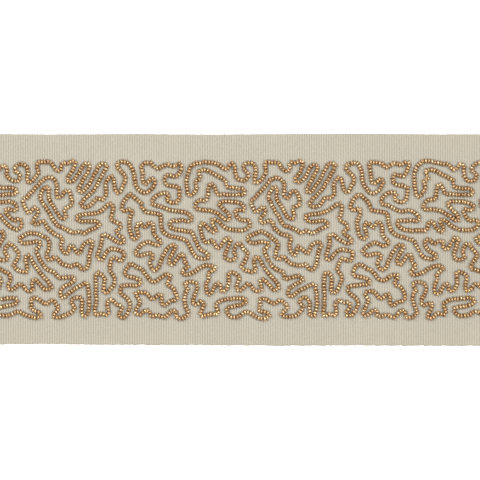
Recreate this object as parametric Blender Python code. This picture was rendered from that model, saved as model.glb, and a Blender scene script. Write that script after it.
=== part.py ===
"""Beaded tape trim: a cut length of ribbed grosgrain tape with bead strings couched on it in a
vermicelli meander. The tape lies flat along X, its width is along Y and its beaded face looks up."""

import math
import random

import bmesh
import bpy
import numpy as np
from mathutils import Vector

# Tape, in metres
TAPE_LENGTH = 0.254
TAPE_WIDTH = 0.100
TAPE_THICKNESS = 0.0010
RIB_PITCH = 0.00115
RIB_HEIGHT = 0.00018
# How far each long edge stands out of straight, by its place along the tape
EDGE_WAVE = (
    # along, far edge, near edge
    (-0.127, 0.0002, 0.0004),
    (-0.090, -0.0001, 0.0005),
    (-0.050, 0.0001, 0.0001),
    (-0.015, -0.0002, 0.0000),
    (0.025, 0.0001, -0.0003),
    (0.060, 0.0002, -0.0001),
    (0.095, -0.0001, -0.0004),
    (0.127, 0.0000, -0.0003),
)

# Bead strings, and how far their ends stand apart where one follows another
BEAD_DIAMETER = 0.0024
STRING_COUNT = 4
GAP = 0.0003
JOIN_GAP = 0.0017
# The strings are cut within this many steps of their share, at the widest span of so many steps
CUT_SEARCH = 20
CUT_SPAN = 3
# Points of a string are left out where the line stays this close to straight
BEND_TOLERANCE = 0.00018

# Vermicelli layout: the string is led round a branching tree that comes again at each repeat
REPEAT = 0.108
FIELD_HALF_LENGTH = 0.1215
FIELD_HALF_WIDTH = 0.0381
FORKS_PER_REPEAT = 17
FORK_COLUMNS = 38
FORK_ROWS = 14
LAYOUT_SEED = 44
# Scatter of the forks as a share of their spacing
FORK_SCATTER = 0.34
MOST_TWIGS = 4
# The share of forks that are meant to be the tips of twigs
TIP_SHARE = 0.35
# What a twig's length, and lying along the border, add to its random weight of 0 to 1
LENGTH_PULL = 0.6
OUTER_ROW_PULL = 0.7
# The string runs half a lane from the twigs, and in an arc where it turns by more than this angle
HALF_LANE = 0.0015
WIDE_TURN = 2.7
TURN_STEP = 1.0
# How far off a fork the string may run in a sharp corner, in half lanes
CORNER_REACH = 1.5

# Settling of the laid string, in small rounds: push apart, lengthen, straighten
STEP = 0.0017
ROUNDS = 90
LISTING_ROUNDS = 5
LISTING_LANES = 1.3
LANE = 0.0034
PUSH = 0.0005
STRETCH = 1.5
STRETCH_ROUNDS = 30
SPRING = 0.25
BEND = 0.14
MOST_MOVE = 0.0004
OWN_NEIGHBOURS = 3
# A first gentle sway to the sides, and the waves of the border that holds the string in
SWAY = 0.0006
SWAY_LENGTH = 0.008
BORDER_WAVE = 0.0022
BORDER_WAVE_LENGTH = 0.0065
# Last, kinks are smoothed out and no two runs are left nearer than the least lane
SMOOTHING_PASSES = 3
SMOOTHING_EASE = 0.5
LEAST_LANE = 0.0028
PARTING_ROUNDS = 10
PARTING_EASE = 0.08
# Decimals of a metre that places are rounded to, so that small errors can't grow
ROUNDED_TO = 7
# Added to lengths and moves so that none that is divided by is zero
LEAST_LENGTH = 1e-9
LEAST_MOVE = 1e-12

TAPE_COLOUR = (0.58, 0.54, 0.45)
TAPE_ROUGHNESS = 0.75
BEAD_COLOUR = (0.60, 0.38, 0.20)
BEAD_ROUGHNESS = 0.35
BEAD_METALLIC = 0.6


def fork_points(rng):
    """The forks of the tree: an uneven triangular lattice that comes again at each repeat."""
    across = REPEAT / FORKS_PER_REPEAT
    half_width = FIELD_HALF_WIDTH - HALF_LANE
    up = 2 * half_width / (FORK_ROWS - 1)
    scatter = {}
    for column in range(FORKS_PER_REPEAT):
        for row in range(FORK_ROWS):
            dx = rng.uniform(-1, 1) * FORK_SCATTER * across
            dy = rng.uniform(-1, 1) * FORK_SCATTER * up
            scatter[column, row] = (dx, dy)
    points = {}
    limit = FIELD_HALF_LENGTH - HALF_LANE
    for column in range(FORK_COLUMNS):
        for row in range(FORK_ROWS):
            dx, dy = scatter[column % FORKS_PER_REPEAT, row]
            x = (column + 0.5 * (row % 2) - (FORK_COLUMNS - 0.5) / 2) * across + dx
            y = row * up - half_width + dy
            x = max(-limit, min(limit, x))
            y = max(-half_width, min(half_width, y))
            points[column, row] = (round(x, ROUNDED_TO), round(y, ROUNDED_TO))
    return points


def twigs_between(points, rng):
    """Joins all the forks into one tree, the lightest links first; weights and tips repeat too."""
    weights = {}
    tips = {}
    links = []
    across = REPEAT / FORKS_PER_REPEAT
    for column, row in sorted(points):
        spot = (column % FORKS_PER_REPEAT, row)
        if spot not in tips:
            tips[spot] = rng.random() < TIP_SHARE
        odd = row % 2
        for way, (right, above) in enumerate(((1, 0), (odd, 1), (odd - 1, 1))):
            key = (*spot, way)
            if key not in weights:
                weights[key] = rng.random()
            other = (column + right, row + above)
            if other in points:
                length = math.dist(points[column, row], points[other])
                pull = round(LENGTH_PULL * length / across, ROUNDED_TO)
                if way == 0 and row in (0, FORK_ROWS - 1):
                    pull += OUTER_ROW_PULL
                links.append((weights[key] + pull, (column, row), other))
    links.sort()
    group = {point: point for point in points}

    def head(point):
        while group[point] != point:
            point = group[point]
        return point

    twigs = {point: [] for point in points}
    for most_at_tips in (0, 1, MOST_TWIGS):
        for _, *ends in links:
            room = True
            for column, row in ends:
                tip = tips[column % FORKS_PER_REPEAT, row]
                most = most_at_tips if tip else MOST_TWIGS
                room = room and len(twigs[column, row]) < most
            a, b = ends
            if room and head(a) != head(b):
                group[head(a)] = head(b)
                twigs[a].append(b)
                twigs[b].append(a)
    return twigs


def walk_round(points, twigs):
    """The closed line that goes once round the tree, half a lane from its twigs."""

    def bearing(a, b):
        return math.atan2(points[b][1] - points[a][1], points[b][0] - points[a][0])

    tip = min(point for point in points if len(twigs[point]) == 1)
    before, here = tip, twigs[tip][0]
    start = (before, here)
    line = []
    while True:
        back = bearing(here, before)
        turns = []
        for other in twigs[here]:
            turn = (bearing(here, other) - back) % (2 * math.pi)
            turns.append((turn or 2 * math.pi, other))
        turn, ahead = min(turns)
        x, y = points[here]
        if turn < WIDE_TURN:
            angles = [back + turn / 2]
            reach = min(HALF_LANE / math.sin(turn / 2), CORNER_REACH * HALF_LANE)
        else:
            first = back + math.pi / 2
            last = back + turn - math.pi / 2
            count = max(1, round((last - first) / TURN_STEP))
            angles = [first + (last - first) * k / count for k in range(count + 1)]
            reach = HALF_LANE
        line += [(x + reach * math.cos(a), y + reach * math.sin(a)) for a in angles]
        before, here = here, ahead
        if (before, here) == start:
            return np.round(np.array(line), ROUNDED_TO)


def respaced(loop, step):
    """A closed line again, with points a step apart."""
    closed = np.vstack([loop, loop[:1]])
    lengths = np.sqrt((np.diff(closed, axis=0) ** 2).sum(axis=1))
    along = np.concatenate([[0.0], np.cumsum(lengths)])
    count = int(round(along[-1] / step))
    at = np.arange(count) * along[-1] / count
    line = [np.interp(at, along, closed[:, k]) for k in range(2)]
    return np.round(np.stack(line, axis=1), ROUNDED_TO)


def eased(places, knots):
    """Values that run smoothly from knot to knot, a knot at each whole place."""
    start = np.clip(places.astype(int), 0, len(knots) - 2)
    share = np.clip(places - start, 0.0, 1.0)
    share = share * share * (3 - 2 * share)
    return knots[start] * (1 - share) + knots[start + 1] * share


def random_knots(count, low, high, rng):
    return np.array([rng.uniform(low, high) for _ in range(count)])


def swayed(loop, rng):
    """The line moved sideways by a gentle sway, so that no run of it is straight."""
    count = max(3, int(len(loop) * STEP / SWAY_LENGTH))
    knots = random_knots(count, -SWAY, SWAY, rng)
    side = eased(np.arange(len(loop)) * count / len(loop), np.append(knots, knots[0]))
    along = np.roll(loop, -1, axis=0) - np.roll(loop, 1, axis=0)
    along = along / (np.sqrt((along**2).sum(axis=1))[:, None] + LEAST_LENGTH)
    return loop + np.stack([-along[:, 1], along[:, 0]], axis=1) * side[:, None]


def close_pairs(loop, reach):
    """Index pairs of points nearer than the reach, apart from neighbours on the string."""
    apart = (loop[:, None, 0] - loop[None, :, 0]) ** 2
    apart += (loop[:, None, 1] - loop[None, :, 1]) ** 2
    a, b = np.nonzero(np.triu(apart < reach**2, 1))
    steps = np.abs(a - b)
    steps = np.minimum(steps, len(loop) - steps)
    keep = steps > OWN_NEIGHBOURS
    return a[keep], b[keep]


def unit_and_length(vectors):
    lengths = np.sqrt((vectors**2).sum(axis=1)) + LEAST_LENGTH
    return vectors / lengths[:, None], lengths


def pushed_apart(loop, pairs, lane, most):
    """How far each point is pushed off the points that come nearer than a lane."""
    a, b = pairs
    away, gap = unit_and_length(loop[a] - loop[b])
    push = np.maximum(0.0, 1 - gap / lane) * most
    move = np.zeros_like(loop)
    for k in range(2):
        share = away[:, k] * push
        move[:, k] = np.bincount(a, share, len(loop)) - np.bincount(b, share, len(loop))
    return move


def settled(loop, rng):
    """The string lengthened a little, kept a lane from itself and inside a wavy border."""
    loop = swayed(respaced(loop, STEP), rng)
    waves = int(2 * FIELD_HALF_LENGTH / BORDER_WAVE_LENGTH)
    borders = [random_knots(waves + 1, 0.0, BORDER_WAVE, rng) for _ in range(2)]
    pairs = None
    for turn in range(ROUNDS):
        if turn % LISTING_ROUNDS == 0:
            pairs = close_pairs(loop, LISTING_LANES * LANE)
        move = pushed_apart(loop, pairs, LANE, PUSH)
        rest = STEP * (1 + (STRETCH - 1) * min(1.0, turn / STRETCH_ROUNDS))
        middle = np.zeros_like(loop)
        for other in (np.roll(loop, 1, axis=0), np.roll(loop, -1, axis=0)):
            way, length = unit_and_length(other - loop)
            move += SPRING * way * (length - rest)[:, None]
            middle += 0.5 * other
        move += BEND * (middle - loop)
        length = np.sqrt((move**2).sum(axis=1)) + LEAST_MOVE
        loop = loop + move * np.minimum(1.0, MOST_MOVE / length)[:, None]
        loop[:, 0] = np.clip(loop[:, 0], -FIELD_HALF_LENGTH, FIELD_HALF_LENGTH)
        places = (loop[:, 0] + FIELD_HALF_LENGTH) * waves / (2 * FIELD_HALF_LENGTH)
        far = FIELD_HALF_WIDTH - eased(places, borders[0])
        near = FIELD_HALF_WIDTH - eased(places, borders[1])
        loop[:, 1] = np.maximum(np.minimum(loop[:, 1], far), -near)
        loop = np.round(loop, ROUNDED_TO)
    return loop


def smoothed(loop, share):
    """Each point of the line moved a share of the way to the middle of its neighbours."""
    middle = 0.5 * (np.roll(loop, 1, axis=0) + np.roll(loop, -1, axis=0))
    return np.round(loop + share * (middle - loop), ROUNDED_TO)


def parted(loop):
    """The line with every place that comes too near another moved clear of it."""
    for _ in range(PARTING_ROUNDS):
        pairs = close_pairs(loop, LEAST_LANE)
        loop = loop + pushed_apart(loop, pairs, LEAST_LANE, LEAST_LANE / 2)
        loop = smoothed(loop, PARTING_EASE)
    return loop


def vermicelli():
    """The centre line of the beads seen from above, one closed line with even steps."""
    rng = random.Random(LAYOUT_SEED)
    points = fork_points(rng)
    twigs = twigs_between(points, rng)
    loop = settled(walk_round(points, twigs), rng)
    for _ in range(SMOOTHING_PASSES):
        loop = smoothed(loop, SMOOTHING_EASE)
    return respaced(parted(loop), STEP)


def without_straight_points(line):
    """The fewest of the line's own points that keep within the bend tolerance of it."""
    keep = {0, len(line) - 1}
    todo = [(0, len(line) - 1)]
    while todo:
        first, last = todo.pop()
        if last - first < 2:
            continue
        chord = line[last] - line[first]
        inner = line[first + 1 : last] - line[first]
        share = np.clip(inner @ chord / max(chord @ chord, LEAST_MOVE), 0.0, 1.0)
        miss = np.sqrt(((inner - share[:, None] * chord) ** 2).sum(axis=1))
        worst = int(miss.argmax())
        if miss[worst] > BEND_TOLERANCE:
            middle = first + 1 + worst
            keep.add(middle)
            todo += [(first, middle), (middle, last)]
    return line[sorted(keep)]


def straight_place(loop, about):
    """The index near a given one where the closed line runs straightest."""

    def span(index):
        before, after = (loop[(index + side) % len(loop)] for side in (-CUT_SPAN, CUT_SPAN))
        return round(math.dist(before, after), ROUNDED_TO)

    return max(range(about - CUT_SEARCH, about + CUT_SEARCH + 1), key=span)


def string_lines():
    """The closed line shared out between the strings, cut where it runs straight."""
    loop = vermicelli()
    loop = np.roll(loop, -straight_place(loop, 0), axis=0)
    shares = [round(k * len(loop) / STRING_COUNT) for k in range(1, STRING_COUNT)]
    cuts = [0, *(straight_place(loop, share) for share in shares), len(loop)]
    skipped = round(JOIN_GAP / STEP)
    return [loop[a : b - skipped + 1] for a, b in zip(cuts, cuts[1:])]


def finish(name, colour, roughness, metallic):
    material = bpy.data.materials.new(name)
    material.use_nodes = True
    shader = material.node_tree.nodes["Principled BSDF"]
    shader.inputs["Base Color"].default_value = (*colour, 1.0)
    shader.inputs["Roughness"].default_value = roughness
    shader.inputs["Metallic"].default_value = metallic
    return material


def edge_offset(x, column):
    """The wave of a long edge at x, in straight runs between the rows of EDGE_WAVE."""
    for low, high in zip(EDGE_WAVE, EDGE_WAVE[1:]):
        if x <= high[0]:
            break
    share = (x - low[0]) / (high[0] - low[0])
    return low[column] + share * (high[column] - low[column])


def make_tape(collection):
    """The ribbed tape: a row of faces for the flanks of its ribs, closed below by a flat back."""
    flanks = 2 * round(TAPE_LENGTH / RIB_PITCH)
    bm = bmesh.new()
    bmesh.ops.create_grid(bm, x_segments=flanks, y_segments=1, size=0.5)
    top = list(bm.verts)
    bmesh.ops.extrude_face_region(bm, geom=list(bm.faces), use_keep_orig=True)
    for vert in bm.verts:
        column = round((vert.co.x + 0.5) * flanks)
        far = vert.co.y > 0
        x = TAPE_LENGTH * (column / flanks - 0.5)
        y = (TAPE_WIDTH / 2 if far else -TAPE_WIDTH / 2) + edge_offset(x, 1 if far else 2)
        crest = TAPE_THICKNESS - (RIB_HEIGHT if column % 2 == 0 else 0.0)
        vert.co = Vector((x, y, crest if vert in top else 0.0))
    bmesh.ops.recalc_face_normals(bm, faces=bm.faces)
    mesh = bpy.data.meshes.new("tape")
    bm.to_mesh(mesh)
    bm.free()
    tape = bpy.data.objects.new("tape", mesh)
    mesh.materials.append(finish("woven tape", TAPE_COLOUR, TAPE_ROUGHNESS, 0.0))
    collection.objects.link(tape)


def make_string(name, line, collection, material):
    """One bead string as a plain tube on its centre line, lying just over the ribs."""
    curve = bpy.data.curves.new(name, "CURVE")
    curve.dimensions = "3D"
    curve.twist_mode = "Z_UP"
    curve.bevel_depth = BEAD_DIAMETER / 2
    curve.bevel_resolution = 0
    curve.use_fill_caps = True
    points = without_straight_points(line)
    spline = curve.splines.new("POLY")
    spline.points.add(len(points) - 1)
    height = TAPE_THICKNESS + GAP + BEAD_DIAMETER / 2
    for point, (x, y) in zip(spline.points, points):
        point.co = (x, y, height, 1.0)
    curve.materials.append(material)
    collection.objects.link(bpy.data.objects.new(name, curve))


def main():
    for old in list(bpy.data.objects):
        bpy.data.objects.remove(old, do_unlink=True)
    collection = bpy.data.collections.new("beaded tape trim")
    bpy.context.scene.collection.children.link(collection)
    make_tape(collection)
    beads = finish("bronze beads", BEAD_COLOUR, BEAD_ROUGHNESS, BEAD_METALLIC)
    for number, line in enumerate(string_lines(), 1):
        make_string(f"bead_string_{number}", line, collection, beads)


main()
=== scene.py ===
"""Dresses the beaded tape trim: a ribbed grosgrain tape with strings of bronze beads couched on it in a
vermicelli meander, lying on a pale table and seen from straight above."""

import math
import random

import bmesh
import bpy
import numpy as np
from bpy.props import FloatProperty, FloatVectorProperty, IntProperty, PointerProperty
from mathutils import Euler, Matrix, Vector


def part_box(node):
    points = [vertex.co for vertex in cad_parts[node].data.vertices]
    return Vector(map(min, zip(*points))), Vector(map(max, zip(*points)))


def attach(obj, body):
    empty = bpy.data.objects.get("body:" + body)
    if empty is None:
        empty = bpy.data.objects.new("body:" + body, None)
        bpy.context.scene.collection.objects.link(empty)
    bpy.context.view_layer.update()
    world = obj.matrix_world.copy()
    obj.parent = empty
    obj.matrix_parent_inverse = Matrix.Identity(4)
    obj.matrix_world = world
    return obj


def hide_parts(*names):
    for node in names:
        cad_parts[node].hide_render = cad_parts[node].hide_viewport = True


bl_info = {
    "name": "Beaded Tape Trim",
    "version": (1, 0, 0),
    "blender": (4, 5, 0),
    "location": "View3D > Sidebar > Trim",
    "description": "Weaves the ribbed tape and lays its strings of beads",
    "category": "Object",
}

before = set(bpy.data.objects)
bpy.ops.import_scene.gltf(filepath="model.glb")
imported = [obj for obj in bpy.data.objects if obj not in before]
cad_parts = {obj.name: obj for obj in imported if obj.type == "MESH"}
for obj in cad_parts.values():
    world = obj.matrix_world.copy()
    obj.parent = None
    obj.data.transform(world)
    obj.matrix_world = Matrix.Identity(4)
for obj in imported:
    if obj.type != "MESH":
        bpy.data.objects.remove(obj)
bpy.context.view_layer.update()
TAPE_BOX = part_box("tape")
STRING_NODES = sorted(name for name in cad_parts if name.startswith("bead_string_"))
ROOT = "root"
ROUNDING = 1e-5

# Rows of the tape's mesh: near an edge, in turns of the edge's roundness, and evenly in between
EDGE_ROWS = (0.0, 0.15, 0.5, 1.0, 2.2)
MIDDLE_ROWS = 9

# The tape's slow waves fade out towards its edges, over this many turns of the edge's roundness
WAVE_FADE = 8

# Loose turns of weft: the furthest, in turns of the looseness, and their share at the far and near edge
LOOSEST = 1.5
LOOSE_SHARES = (0.3, 1.0)

# Chance in a bead: its length in turns of the size spread, and its usual lean as a share of the tilt
BEAD_LENGTHS = (-1.0, 0.3)
USUAL_LEAN = 0.5

# Tones of the beads: the share that drifts along a string, and how fast it drifts from bead to bead
DRIFTING_TONE = 0.35
DRIFT_RATE = 0.15

# Lamps of the studio: name, place, width and share of the panel's power
LAMPS = (
    ("soft panel", (0.06, 0.06, 1.30), 0.50, 1.00),
    ("lamp at the far left", (-0.36, 0.32, 0.72), 0.30, 0.24),
    ("lamp on the right", (1.80, 0.10, 2.50), 0.50, 2.54),
    ("lamp on the near side", (-0.20, -1.10, 2.60), 0.50, 0.70),
)


def length_setting(name, description, default):
    return FloatProperty(name=name, description=description, default=default, unit="LENGTH", precision=5)


def count_setting(name, description, default):
    return IntProperty(name=name, description=description, default=default, min=1)


def colour_setting(name, description, default):
    return FloatVectorProperty(
        name=name, description=description, default=default, subtype="COLOR", min=0, max=1
    )


class TapeSettings(bpy.types.PropertyGroup):
    rib_pitch: length_setting("Rib pitch", "From one rib to the next along the tape", 0.00115)
    rib_depth: length_setting("Rib depth", "From a rib's crest down to the valley", 0.00024)
    edge_roundness: length_setting("Edge roundness", "How far in the woven edges are rounded", 0.0005)
    scallop: length_setting("Scallop", "How far each rib stands out at the woven edges", 0.00009)
    looseness: length_setting("Looseness", "How far loose turns of weft stand off the near edge", 0.00014)
    waviness: length_setting("Waviness", "Height of the slow waves in the lying tape", 0.00012)
    wave_length: length_setting("Wave length", "From one slow wave to the next along the tape", 0.083)
    wave_width: length_setting("Wave width", "From one slow wave to the next across the tape", 0.061)
    thread_pitch: length_setting("Thread pitch", "From one warp thread to the next", 0.00026)
    steps_per_rib: count_setting("Steps per rib", "Faces along the tape for each rib", 6)
    colour: colour_setting("Colour", "Ecru yarn on the ribs", (0.495, 0.470, 0.402))
    # Painted shade: the darker valley colour stands in for the shade that falls between the ribs.
    valley_shade_colour: colour_setting("Valley colour", "Yarn between the ribs", (0.272, 0.256, 0.205))
    seed: count_setting("Seed", "Start of the chance values", 3)


class BeadSettings(bpy.types.PropertyGroup):
    diameter: length_setting("Diameter", "Across the bead", 0.00226)
    length: length_setting("Length", "Along the bead's hole", 0.00122)
    hole: length_setting("Hole", "Diameter of the hole", 0.0006)
    pitch: length_setting("Pitch", "From bead to bead on the string", 0.00145)
    offset: length_setting("Offset", "How far beads stand off the line", 0.0002)
    sink: length_setting("Sink", "How far beads press into the ribs", 0.00008)
    size_spread: FloatProperty(
        name="Size spread", description="Share by which beads differ", default=0.06, subtype="FACTOR"
    )
    tilt: FloatProperty(
        name="Tilt", description="How far beads lean on the thread", default=0.30, subtype="ANGLE"
    )
    sides: count_setting("Sides", "Faces round a bead", 12)
    rings: count_setting("Rings", "Faces round a bead's wall", 7)
    colour: colour_setting("Colour", "Bronze gold glass", (0.555, 0.362, 0.152))
    pale_colour: colour_setting("Pale colour", "The paler beads", (0.72, 0.55, 0.315))
    dark_colour: colour_setting("Dark colour", "The darker beads", (0.40, 0.22, 0.070))
    rosy_colour: colour_setting("Rosy colour", "The rosier beads", (0.53, 0.29, 0.155))
    seed: count_setting("Seed", "Start of the chance values", 7)


class ThreadSettings(bpy.types.PropertyGroup):
    diameter: length_setting("Diameter", "Of the stringing thread", 0.00034)
    stitch_diameter: length_setting("Stitch diameter", "Of the couching thread", 0.00021)
    stitch_reach: length_setting(
        "Stitch reach", "From the bead's side to where a stitch enters the tape", 0.00028
    )
    stitch_depth: length_setting("Stitch depth", "How far a stitch sinks between two beads", 0.00018)
    stitch_bends: count_setting("Stitch bends", "Points over the string in each stitch", 5)
    # Painted shade: the thread's dark brown is partly its own colour and partly stands in for the shade in
    # the gaps between beads and beside them, where the stitches lie.
    colour: colour_setting("Colour", "Brown waxed thread", (0.215, 0.082, 0.023))


class StageSettings(bpy.types.PropertyGroup):
    view_width: length_setting("View width", "Width seen at the tape", 0.2274)
    camera_height: length_setting("Camera height", "Above the tape", 1.6)
    camera_shift: length_setting("Camera shift", "Of the camera towards the near edge", 0.0002)
    floor_size: length_setting("Floor size", "Side of the table top", 6.0)
    floor_colour: colour_setting("Floor colour", "Pale table", (0.93, 0.93, 0.93))
    panel_power: FloatProperty(
        name="Panel power", description="Soft light above", default=10.7, unit="POWER"
    )
    light_colour: FloatVectorProperty(
        name="Light colour", description="Of the lamps", default=(0.93, 0.99, 1.05), subtype="COLOR", min=0
    )
    fill_strength: FloatProperty(name="Fill strength", description="Light from all round", default=0.42)
    fill_colour: colour_setting("Fill colour", "Of the light from all round", (1.0, 0.69, 0.35))


class Wire:
    """A value in a material: an output socket that plain Python maths adds Math nodes to."""

    def __init__(self, tree, socket):
        self.tree = tree
        self.socket = socket

    def math(self, operation, *others):
        return math_node(self.tree, operation, self, *others)

    def __add__(self, other):
        return self.math("ADD", other)

    def __sub__(self, other):
        return self.math("SUBTRACT", other)

    def __rsub__(self, other):
        return math_node(self.tree, "SUBTRACT", other, self)

    def __mul__(self, other):
        return self.math("MULTIPLY", other)

    def __truediv__(self, other):
        return self.math("DIVIDE", other)

    def __rtruediv__(self, other):
        return math_node(self.tree, "DIVIDE", other, self)

    __radd__ = __add__
    __rmul__ = __mul__


def node(tree, kind, choices=None, inputs=None):
    """Adds a node, makes its choices, fills its inputs by name or number, and returns its outputs."""
    new = tree.nodes.new(kind)
    for name, value in (choices or {}).items():
        setattr(new, name, value)
    for name, value in (inputs or {}).items():
        if isinstance(value, Wire):
            tree.links.new(value.socket, new.inputs[name])
        else:
            new.inputs[name].default_value = value
    return [Wire(tree, socket) for socket in new.outputs]


def math_node(tree, operation, *values):
    return node(tree, "ShaderNodeMath", {"operation": operation}, dict(enumerate(values)))[0]


def clamped(wire):
    return node(wire.tree, "ShaderNodeClamp", inputs={0: wire})[0]


def noise(tree, place, size, detail=2.0):
    """Soft chance values from 0 to 1 with patches of about this size in metres."""
    inputs = {"Vector": place, "Scale": 1 / size, "Detail": detail}
    return node(tree, "ShaderNodeTexNoise", inputs=inputs)[0]


def object_place(tree):
    """The place on the piece, in metres from its origin: the Object output."""
    return node(tree, "ShaderNodeTexCoord")[3]


def own_value(tree, name):
    """A number that the piece carries at each of its points: the Fac output."""
    return node(tree, "ShaderNodeAttribute", {"attribute_name": name})[2]


def bump(tree, height, distance=1.0):
    return node(tree, "ShaderNodeBump", inputs={"Height": height, "Distance": distance})[0]


def feed(wire, shader, name):
    wire.tree.links.new(wire.socket, shader.inputs[name])


def new_material(name, **constants):
    """A material with a Principled shader whose named inputs are set, and its node tree and shader."""
    material = bpy.data.materials.new(name)
    material.use_nodes = True
    tree = material.node_tree
    shader = tree.nodes["Principled BSDF"]
    for key, value in constants.items():
        shader.inputs[key.replace("_", " ")].default_value = value
    return material, tree, shader


def mixed(tree, factor, first, second):
    """Two colours mixed by a wire or number from 0 to 1."""
    inputs = {"Factor": factor, 6: first, 7: second}
    for key in (6, 7):
        if not isinstance(inputs[key], Wire):
            inputs[key] = (*inputs[key][:3], 1.0)
    return node(tree, "ShaderNodeMix", {"data_type": "RGBA"}, inputs)[2]


def toned(colour, share):
    """The same colour, darker or paler by this share."""
    return [min(1.0, part * share) for part in colour]


def settings():
    return bpy.context.scene.beaded_trim


def deselect():
    bpy.ops.object.select_all(action="DESELECT")


def finished(piece, name, material, slot, *nodes):
    """Names a piece, gives it its material, and lets it ride in place of the solids that it stands for."""
    piece.name = name
    piece.data.name = name
    piece.data.materials.clear()
    piece.data.materials.append(material)
    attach(piece, ROOT)
    if nodes:
        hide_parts(*nodes)


def mesh_object(name, vertices, faces):
    mesh = bpy.data.meshes.new(name)
    mesh.from_pydata(vertices.tolist(), [], faces)
    mesh.validate()
    piece = bpy.data.objects.new(name, mesh)
    bpy.context.collection.objects.link(piece)
    return piece


def grosgrain_material(tape):
    """Ribbed ecru cloth: fine warp threads that cross the ribs by turns, with painted shade in the valleys.
    """
    material, tree, shader = new_material(
        "grosgrain", Roughness=0.82, Sheen_Weight=0.15, Sheen_Roughness=0.4
    )
    place = object_place(tree)
    x, y, _ = node(tree, "ShaderNodeSeparateXYZ", inputs={0: place})
    ribs = (x - TAPE_BOX[0][0]) / tape.rib_pitch
    every_other = ribs.math("FLOORED_MODULO", 2.0).math("FLOOR")
    threads = y / tape.thread_pitch + every_other * 0.5
    thread = (threads * math.tau).math("SINE") * 0.5 + 0.5
    rib = (ribs * math.pi).math("SINE").math("ABSOLUTE")
    fuzz = noise(tree, place, 0.0007, detail=3.0)
    along_ribs = node(tree, "ShaderNodeMapping", inputs={"Vector": place, "Scale": (1.0, 0.12, 1.0)})[0]
    streak = noise(tree, along_ribs, 0.0024)
    cloud = noise(tree, place, 0.045)
    # Painted shade: the mix leans to the darker valley colour between the ribs and between the warp
    # threads, where shade falls.
    crest = clamped(rib * 0.75 + thread * 0.25 + (fuzz - 0.5) * 0.35)
    yarn = mixed(tree, crest, tape.valley_shade_colour, tape.colour)
    faded = clamped((streak - 0.45) * 0.3 + (cloud - 0.5) * 0.5)
    feed(mixed(tree, faded, yarn, toned(tape.colour, 1.10)), shader, "Base Color")
    feed(bump(tree, thread * rib * 0.000045 + fuzz * 0.000036), shader, "Normal")
    return material


def bead_material(bead):
    """Bronze glass with a bright lustre, each bead a little paler, darker or rosier than the next."""
    material, tree, shader = new_material(
        "bead lustre", Metallic=0.6, Coat_Weight=1.0, Coat_IOR=1.7, Coat_Roughness=0.28
    )
    shade = own_value(tree, "shade")
    blush = own_value(tree, "blush")
    colour = mixed(tree, clamped(shade * 2.0 - 1.0), bead.colour, bead.pale_colour)
    colour = mixed(tree, clamped(1.0 - shade * 2.0), colour, bead.dark_colour)
    feed(mixed(tree, blush * 0.45, colour, bead.rosy_colour), shader, "Base Color")
    place = object_place(tree)
    feed(noise(tree, place, 0.0011) * 0.2 + 0.23, shader, "Roughness")
    feed(bump(tree, noise(tree, place, 0.00077, detail=1.0), distance=0.00035), shader, "Normal")
    return material


def thread_material(thread):
    """Brown thread with fine darker fibres; its dark brown is partly painted shade for the gaps between
    beads.
    """
    material, tree, shader = new_material("waxed thread", Roughness=0.6, Sheen_Weight=0.1)
    fibre = noise(tree, object_place(tree), 0.00033)
    feed(mixed(tree, fibre, toned(thread.colour, 0.6), thread.colour), shader, "Base Color")
    return material


def table_material(stage):
    """Smooth white board, very slightly uneven in tone."""
    material, tree, shader = new_material("pale table", Roughness=0.7)
    tone = noise(tree, object_place(tree), 0.33)
    feed(mixed(tree, tone, toned(stage.floor_colour, 0.985), stage.floor_colour), shader, "Base Color")
    return material


def tape_edges():
    """The long edges of the tape's solid: places along it, and the far and near edge there."""
    points = np.array([vertex.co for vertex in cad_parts["tape"].data.vertices])
    along = np.unique(np.round(points[:, 0], 5))
    far = points[points[:, 1] > 0]
    near = points[points[:, 1] < 0]
    far = far[np.argsort(far[:, 0])]
    near = near[np.argsort(near[:, 0])]
    return along, np.interp(along, far[:, 0], far[:, 1]), np.interp(along, near[:, 0], near[:, 1])


def tape_rows(width, roundness):
    """Shares of the width, close together where the woven edges are rounded."""
    edge = [turns * roundness / width for turns in EDGE_ROWS]
    middle = [(row + 1) / (MIDDLE_ROWS + 1) for row in range(MIDDLE_ROWS)]
    return np.array(edge + middle + [1.0 - share for share in reversed(edge)])


def loose_turns(tape, ribs):
    """How far each rib's turn of weft stands off the far and the near edge: now and then more."""
    chance = random.Random(tape.seed)
    turns = np.array([[chance.gauss(0, 1) ** 3 for _ in range(ribs + 1)] for _ in range(2)])
    return np.clip(turns, -LOOSEST, LOOSEST) * tape.looseness * np.array(LOOSE_SHARES)[:, None]


def quads(number):
    """The faces of a grid of vertex numbers, a corner list for each."""
    corners = (number[:-1, :-1], number[:-1, 1:], number[1:, 1:], number[1:, :-1])
    return np.stack(corners, axis=-1).reshape(-1, 4)


def end_faces(over, under):
    """The faces between the two sides of a cut end, where the first and last corners meet."""
    corners = zip(over, over[1:], under[1:], under)
    return [list(dict.fromkeys(int(corner) for corner in face)) for face in corners]


def closed_sheet(x, y, upper, lower):
    """The points and faces of a sheet whose two sides share their first and last row of points."""
    x_grid = np.broadcast_to(x, y.shape)
    upper_points = np.stack([x_grid, y, upper], axis=-1).reshape(-1, 3)
    lower_points = np.stack([x_grid, y, lower], axis=-1)[1:-1].reshape(-1, 3)
    over = np.arange(y.size).reshape(y.shape)
    under = over.copy()
    under[1:-1] = np.arange(len(lower_points)).reshape(-1, len(x)) + y.size
    faces = quads(over).tolist() + quads(under)[:, ::-1].tolist()
    faces += end_faces(over[:, 0], under[:, 0]) + end_faces(under[:, -1], over[:, -1])
    return np.vstack([upper_points, lower_points]), faces


def face_outwards(piece):
    bm = bmesh.new()
    bm.from_mesh(piece.data)
    bmesh.ops.recalc_face_normals(bm, faces=bm.faces)
    bm.to_mesh(piece.data)
    bm.free()


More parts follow.
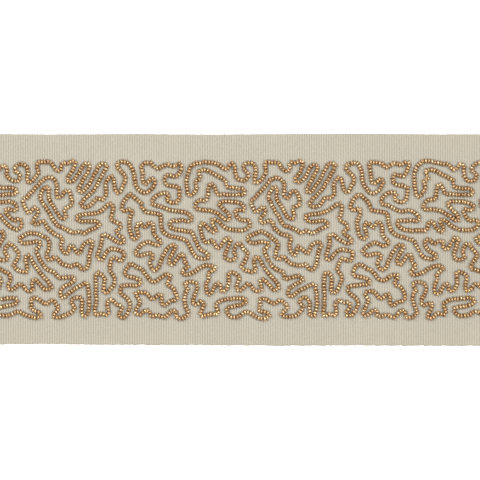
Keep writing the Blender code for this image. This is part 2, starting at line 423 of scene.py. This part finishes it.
class TRIM_OT_weave_tape(bpy.types.Operator):
    """Weaves the ribbed tape in place of its plain solid"""

    bl_idname = "trim.weave_tape"
    bl_label = "Weave Tape"

    def execute(self, context):
        tape = settings().tape
        low, high = TAPE_BOX
        length, width, thickness = (high[axis] - low[axis] for axis in range(3))
        ribs = round(length / tape.rib_pitch)
        columns = ribs * tape.steps_per_rib
        x = np.linspace(low[0], high[0], columns + 1)
        rib = np.abs(np.sin(np.pi * ribs * np.arange(columns + 1) / columns))
        far, near = self.woven_edges(tape, x, rib, ribs)
        shares = tape_rows(width, tape.edge_roundness)[:, None]
        y = near + shares * (far - near)
        inset = np.minimum(shares, 1 - shares) * (far - near) / tape.edge_roundness
        upper, lower = self.heights(tape, x, y, rib, inset, thickness)
        piece = mesh_object("tape", *closed_sheet(x, y, upper, lower))
        face_outwards(piece)
        piece.data.shade_smooth()
        finished(piece, "grosgrain_tape", grosgrain_material(tape), "tape", "tape")
        return {"FINISHED"}

    def woven_edges(self, tape, x, rib, ribs):
        """Where the far and the near edge lie at each place along the tape."""
        along, far_edge, near_edge = tape_edges()
        rib_ends = np.linspace(x[0], x[-1], ribs + 1)
        loose = [np.interp(x, rib_ends, turns) for turns in loose_turns(tape, ribs)]
        far = np.interp(x, along, far_edge) - tape.scallop * (1 - rib) + loose[0]
        near = np.interp(x, along, near_edge) + tape.scallop * (1 - rib) + loose[1]
        return far, near

    def heights(self, tape, x, y, rib, inset, thickness):
        """How high the upper and the lower side lie, rounded where they meet at the edges."""
        swell = np.sqrt(1 - (1 - np.clip(inset, 0, 1)) ** 2)
        wave = np.sin(math.tau * x / tape.wave_length) * np.cos(math.tau * y / tape.wave_width)
        dip = tape.waviness * (0.5 + 0.5 * wave) * np.clip(inset / WAVE_FADE, 0, 1)
        valley = tape.rib_depth * (1 - rib)
        middle = thickness / 2
        upper = middle + (thickness - valley - dip - middle) * swell
        lower = middle + (valley - middle) * swell
        return upper, lower


def ridge_line(name):
    """The places along the top of a string's solid, from end to end."""
    bm = bmesh.new()
    bm.from_mesh(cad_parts[name].data)
    bmesh.ops.remove_doubles(bm, verts=bm.verts, dist=ROUNDING)
    top = max(vertex.co.z for vertex in bm.verts)
    ridge = {vertex for vertex in bm.verts if vertex.co.z > top - ROUNDING}
    nearby = {}
    for vertex in ridge:
        others = [edge.other_vert(vertex) for edge in vertex.link_edges]
        nearby[vertex] = [other for other in others if other in ridge]
    ends = [vertex for vertex in ridge if len(nearby[vertex]) == 1]
    before, here = None, min(ends, key=lambda vertex: tuple(vertex.co))
    line = []
    while here:
        line.append(here.co.xy.copy())
        ahead = [other for other in nearby[here] if other is not before]
        before, here = here, ahead[0] if ahead else None
    bm.free()
    return np.array(line)


def smooth_line(points, steps=8):
    """A smooth curve through all the points."""
    padded = np.vstack([2 * points[0] - points[1], points, 2 * points[-1] - points[-2]])
    t = np.linspace(0, 1, steps, endpoint=False)[:, None]
    line = []
    for a, b, c, d in zip(padded, padded[1:], padded[2:], padded[3:]):
        bend = 2 * b + (c - a) * t + (2 * a - 5 * b + 4 * c - d) * t**2 + (3 * b - a - 3 * c + d) * t**3
        line.append(0.5 * bend)
    return np.vstack([*line, points[-1:]])


def evenly_spaced(line, pitch):
    """Places a pitch apart from one end of the line to the other, and the way the line runs there."""
    lengths = np.sqrt((np.diff(line, axis=0) ** 2).sum(axis=1))
    along = np.concatenate([[0.0], np.cumsum(lengths)])
    count = round(along[-1] / pitch)
    at = np.linspace(0, along[-1], count + 1)

    def place(where):
        return np.stack([np.interp(where, along, line[:, k]) for k in range(2)], axis=1)

    way = place(np.minimum(at + pitch / 2, along[-1])) - place(np.maximum(at - pitch / 2, 0))
    return place(at), np.arctan2(way[:, 1], way[:, 0])


def one_bead(bead):
    """A single round bead with its hole along X, as vertices and faces."""
    deselect()
    wall = (bead.diameter - bead.hole) / 4
    bpy.ops.mesh.primitive_torus_add(
        major_segments=bead.sides,
        minor_segments=bead.rings,
        major_radius=bead.hole / 2 + wall,
        minor_radius=wall,
        rotation=(0, math.pi / 2, 0),
    )
    piece = bpy.context.object
    bpy.ops.object.transform_apply(location=False, rotation=True, scale=False)
    bpy.ops.object.mode_set(mode="EDIT")
    bpy.ops.transform.resize(value=(bead.length / (2 * wall), 1, 1))
    bpy.ops.object.mode_set(mode="OBJECT")
    points = np.array([vertex.co for vertex in piece.data.vertices])
    faces = np.array([list(face.vertices) for face in piece.data.polygons])
    bpy.data.objects.remove(piece, do_unlink=True)
    return points, faces


def bead_places(name):
    """Where the beads of a string lie, and the way the string runs at each."""
    return evenly_spaced(smooth_line(ridge_line(name)), settings().beads.pitch)


def bead_height(diameter):
    """How high the middle of a bead of this diameter lies."""
    return TAPE_BOX[1][2] + diameter / 2 - settings().beads.sink


class TRIM_OT_string_beads(bpy.types.Operator):
    """Lays round beads one by one along each string"""

    bl_idname = "trim.string_beads"
    bl_label = "String Beads"

    def execute(self, context):
        bead = settings().beads
        material = bead_material(bead)
        shape, faces = one_bead(bead)
        chance = random.Random(bead.seed)
        for number, name in enumerate(STRING_NODES, 1):
            places, ways = bead_places(name)
            points = [self.laid_bead(shape, place, way, chance) for place, way in zip(places, ways)]
            starts = np.arange(len(points))[:, None, None] * len(shape)
            all_faces = (faces + starts).reshape(-1, faces.shape[1])
            piece = mesh_object("beads", np.vstack(points), all_faces.tolist())
            shades, blushes = self.bead_tones(len(points), chance)
            for key, values in (("shade", shades), ("blush", blushes)):
                attribute = piece.data.attributes.new(key, "FLOAT", "POINT")
                attribute.data.foreach_set("value", np.repeat(values, len(shape)))
            piece.data.shade_smooth()
            finished(piece, f"beads_{number}", material, "beads", name)
        return {"FINISHED"}

    def laid_bead(self, shape, place, way, chance):
        """The bead's points in its place, by chance a little larger or smaller, leaning or aside."""
        bead = settings().beads
        size = 1 + chance.uniform(-1, 1) * bead.size_spread
        long = 1 + chance.uniform(*BEAD_LENGTHS) * bead.size_spread
        lean, swing = (chance.gauss(0, USUAL_LEAN) * bead.tilt for _ in range(2))
        turn = np.array(Euler((chance.uniform(0, math.tau), lean, way + swing)).to_matrix())
        aside = chance.uniform(-1, 1) * bead.offset
        x, y = place + aside * np.array((-math.sin(way), math.cos(way)))
        return (shape * (long, size, size)) @ turn.T + (x, y, bead_height(size * bead.diameter))

    def bead_tones(self, count, chance):
        """For each bead, how pale it is, which drifts slowly along the string, and how rosy."""
        shades, blushes = [], []
        drift = 0.5
        for _ in range(count):
            drift = (1 - DRIFT_RATE) * drift + DRIFT_RATE * chance.random()
            shades.append(DRIFTING_TONE * drift + (1 - DRIFTING_TONE) * chance.random())
            blushes.append(chance.random() ** 3)
        return shades, blushes


class TRIM_OT_sew_strings(bpy.types.Operator):
    """Runs a thread through the beads of each string and couches it down with a stitch between beads"""

    bl_idname = "trim.sew_strings"
    bl_label = "Sew Strings"

    def execute(self, context):
        thread = settings().thread
        material = thread_material(thread)
        height = bead_height(settings().beads.diameter)
        for number, name in enumerate(STRING_NODES, 1):
            places, ways = bead_places(name)
            curve = bpy.data.curves.new("thread", "CURVE")
            curve.dimensions = "3D"
            curve.bevel_depth = 1.0
            curve.bevel_resolution = 1
            curve.use_fill_caps = True
            self.add_thread(curve, [(x, y, height) for x, y in places], thread.diameter)
            for before, after, way in zip(places, places[1:], ways[1:]):
                stitch = self.stitch((before + after) / 2, way, height)
                self.add_thread(curve, stitch, thread.stitch_diameter)
            piece = bpy.data.objects.new("thread", curve)
            context.collection.objects.link(piece)
            deselect()
            piece.select_set(True)
            context.view_layer.objects.active = piece
            bpy.ops.object.convert(target="MESH")
            finished(context.object, f"string_thread_{number}", material, "beads")
        return {"FINISHED"}

    def add_thread(self, curve, line, diameter):
        spline = curve.splines.new("POLY")
        spline.points.add(len(line) - 1)
        for point, spot in zip(spline.points, line):
            point.co = (*spot, 1)
            point.radius = diameter / 2

    def stitch(self, middle, way, height):
        """One stitch: up out of the tape, over the string between two beads and down again."""
        thread = settings().thread
        radius = settings().beads.diameter / 2
        arch = radius - thread.stitch_depth
        foot = radius + thread.stitch_reach
        low = TAPE_BOX[1][2] - thread.stitch_diameter
        turns = np.linspace(0, math.pi, thread.stitch_bends)
        over = [(-arch * math.cos(turn), height + arch * math.sin(turn)) for turn in turns]
        across = np.array((-math.sin(way), math.cos(way)))
        return [(*(middle + across * side), up) for side, up in [(-foot, low), *over, (foot, low)]]


class TRIM_OT_set_stage(bpy.types.Operator):
    """Adds the pale table, the soft lights and the camera straight above"""

    bl_idname = "trim.set_stage"
    bl_label = "Set Stage"

    def execute(self, context):
        stage = settings().stage
        self.add_table(context, stage)
        self.add_fill(context, stage)
        for lamp in LAMPS:
            self.add_lamp(context, stage, *lamp)
        self.add_camera(context, stage)
        context.scene.view_settings.view_transform = "Standard"
        return {"FINISHED"}

    def add_table(self, context, stage):
        deselect()
        bpy.ops.mesh.primitive_plane_add(size=stage.floor_size, location=(0, 0, -ROUNDING))
        table = context.object
        bpy.ops.object.transform_apply(location=True, rotation=False, scale=False)
        table.name = "table"
        table.data.materials.append(table_material(stage))

    def add_fill(self, context, stage):
        world = bpy.data.worlds.new("soft room")
        world.use_nodes = True
        background = world.node_tree.nodes["Background"]
        background.inputs["Color"].default_value = (*stage.fill_colour, 1.0)
        background.inputs["Strength"].default_value = stage.fill_strength
        context.scene.world = world

    def add_lamp(self, context, stage, name, place, width, share):
        light = bpy.data.lights.new(name, "AREA")
        light.shape = "SQUARE"
        light.size = width
        light.energy = stage.panel_power * share
        light.color = stage.light_colour
        lamp = bpy.data.objects.new(name, light)
        lamp.location = place
        lamp.rotation_euler = (-Vector(place)).to_track_quat("-Z", "Y").to_euler()
        context.scene.collection.objects.link(lamp)

    def add_camera(self, context, stage):
        lens = bpy.data.cameras.new("camera")
        lens.lens = lens.sensor_width * stage.camera_height / stage.view_width
        camera = bpy.data.objects.new("camera", lens)
        camera.location = (0, -stage.camera_shift, TAPE_BOX[1][2] + stage.camera_height)
        context.scene.collection.objects.link(camera)
        context.scene.camera = camera


class TrimSettings(bpy.types.PropertyGroup):
    tape: PointerProperty(type=TapeSettings)
    beads: PointerProperty(type=BeadSettings)
    thread: PointerProperty(type=ThreadSettings)
    stage: PointerProperty(type=StageSettings)


class TRIM_PT_sidebar(bpy.types.Panel):
    """Settings and steps of the beaded tape trim"""

    bl_idname = "TRIM_PT_sidebar"
    bl_label = "Beaded Tape Trim"
    bl_space_type = "VIEW_3D"
    bl_region_type = "UI"
    bl_category = "Trim"

    def draw(self, context):
        for group in ("tape", "beads", "thread", "stage"):
            values = getattr(context.scene.beaded_trim, group)
            box = self.layout.box()
            for key in values.__annotations__:
                box.prop(values, key)
        for step in STEPS:
            self.layout.operator(step.bl_idname)


STEPS = (TRIM_OT_weave_tape, TRIM_OT_string_beads, TRIM_OT_sew_strings, TRIM_OT_set_stage)
CLASSES = (TapeSettings, BeadSettings, ThreadSettings, StageSettings, TrimSettings, *STEPS, TRIM_PT_sidebar)


def register():
    for cls in CLASSES:
        bpy.utils.register_class(cls)
    bpy.types.Scene.beaded_trim = PointerProperty(type=TrimSettings)


def unregister():
    del bpy.types.Scene.beaded_trim
    for cls in reversed(CLASSES):
        bpy.utils.unregister_class(cls)


def main():
    register()
    bpy.ops.trim.weave_tape()
    bpy.ops.trim.string_beads()
    bpy.ops.trim.sew_strings()
    bpy.ops.trim.set_stage()


if __name__ == "__main__":
    main()
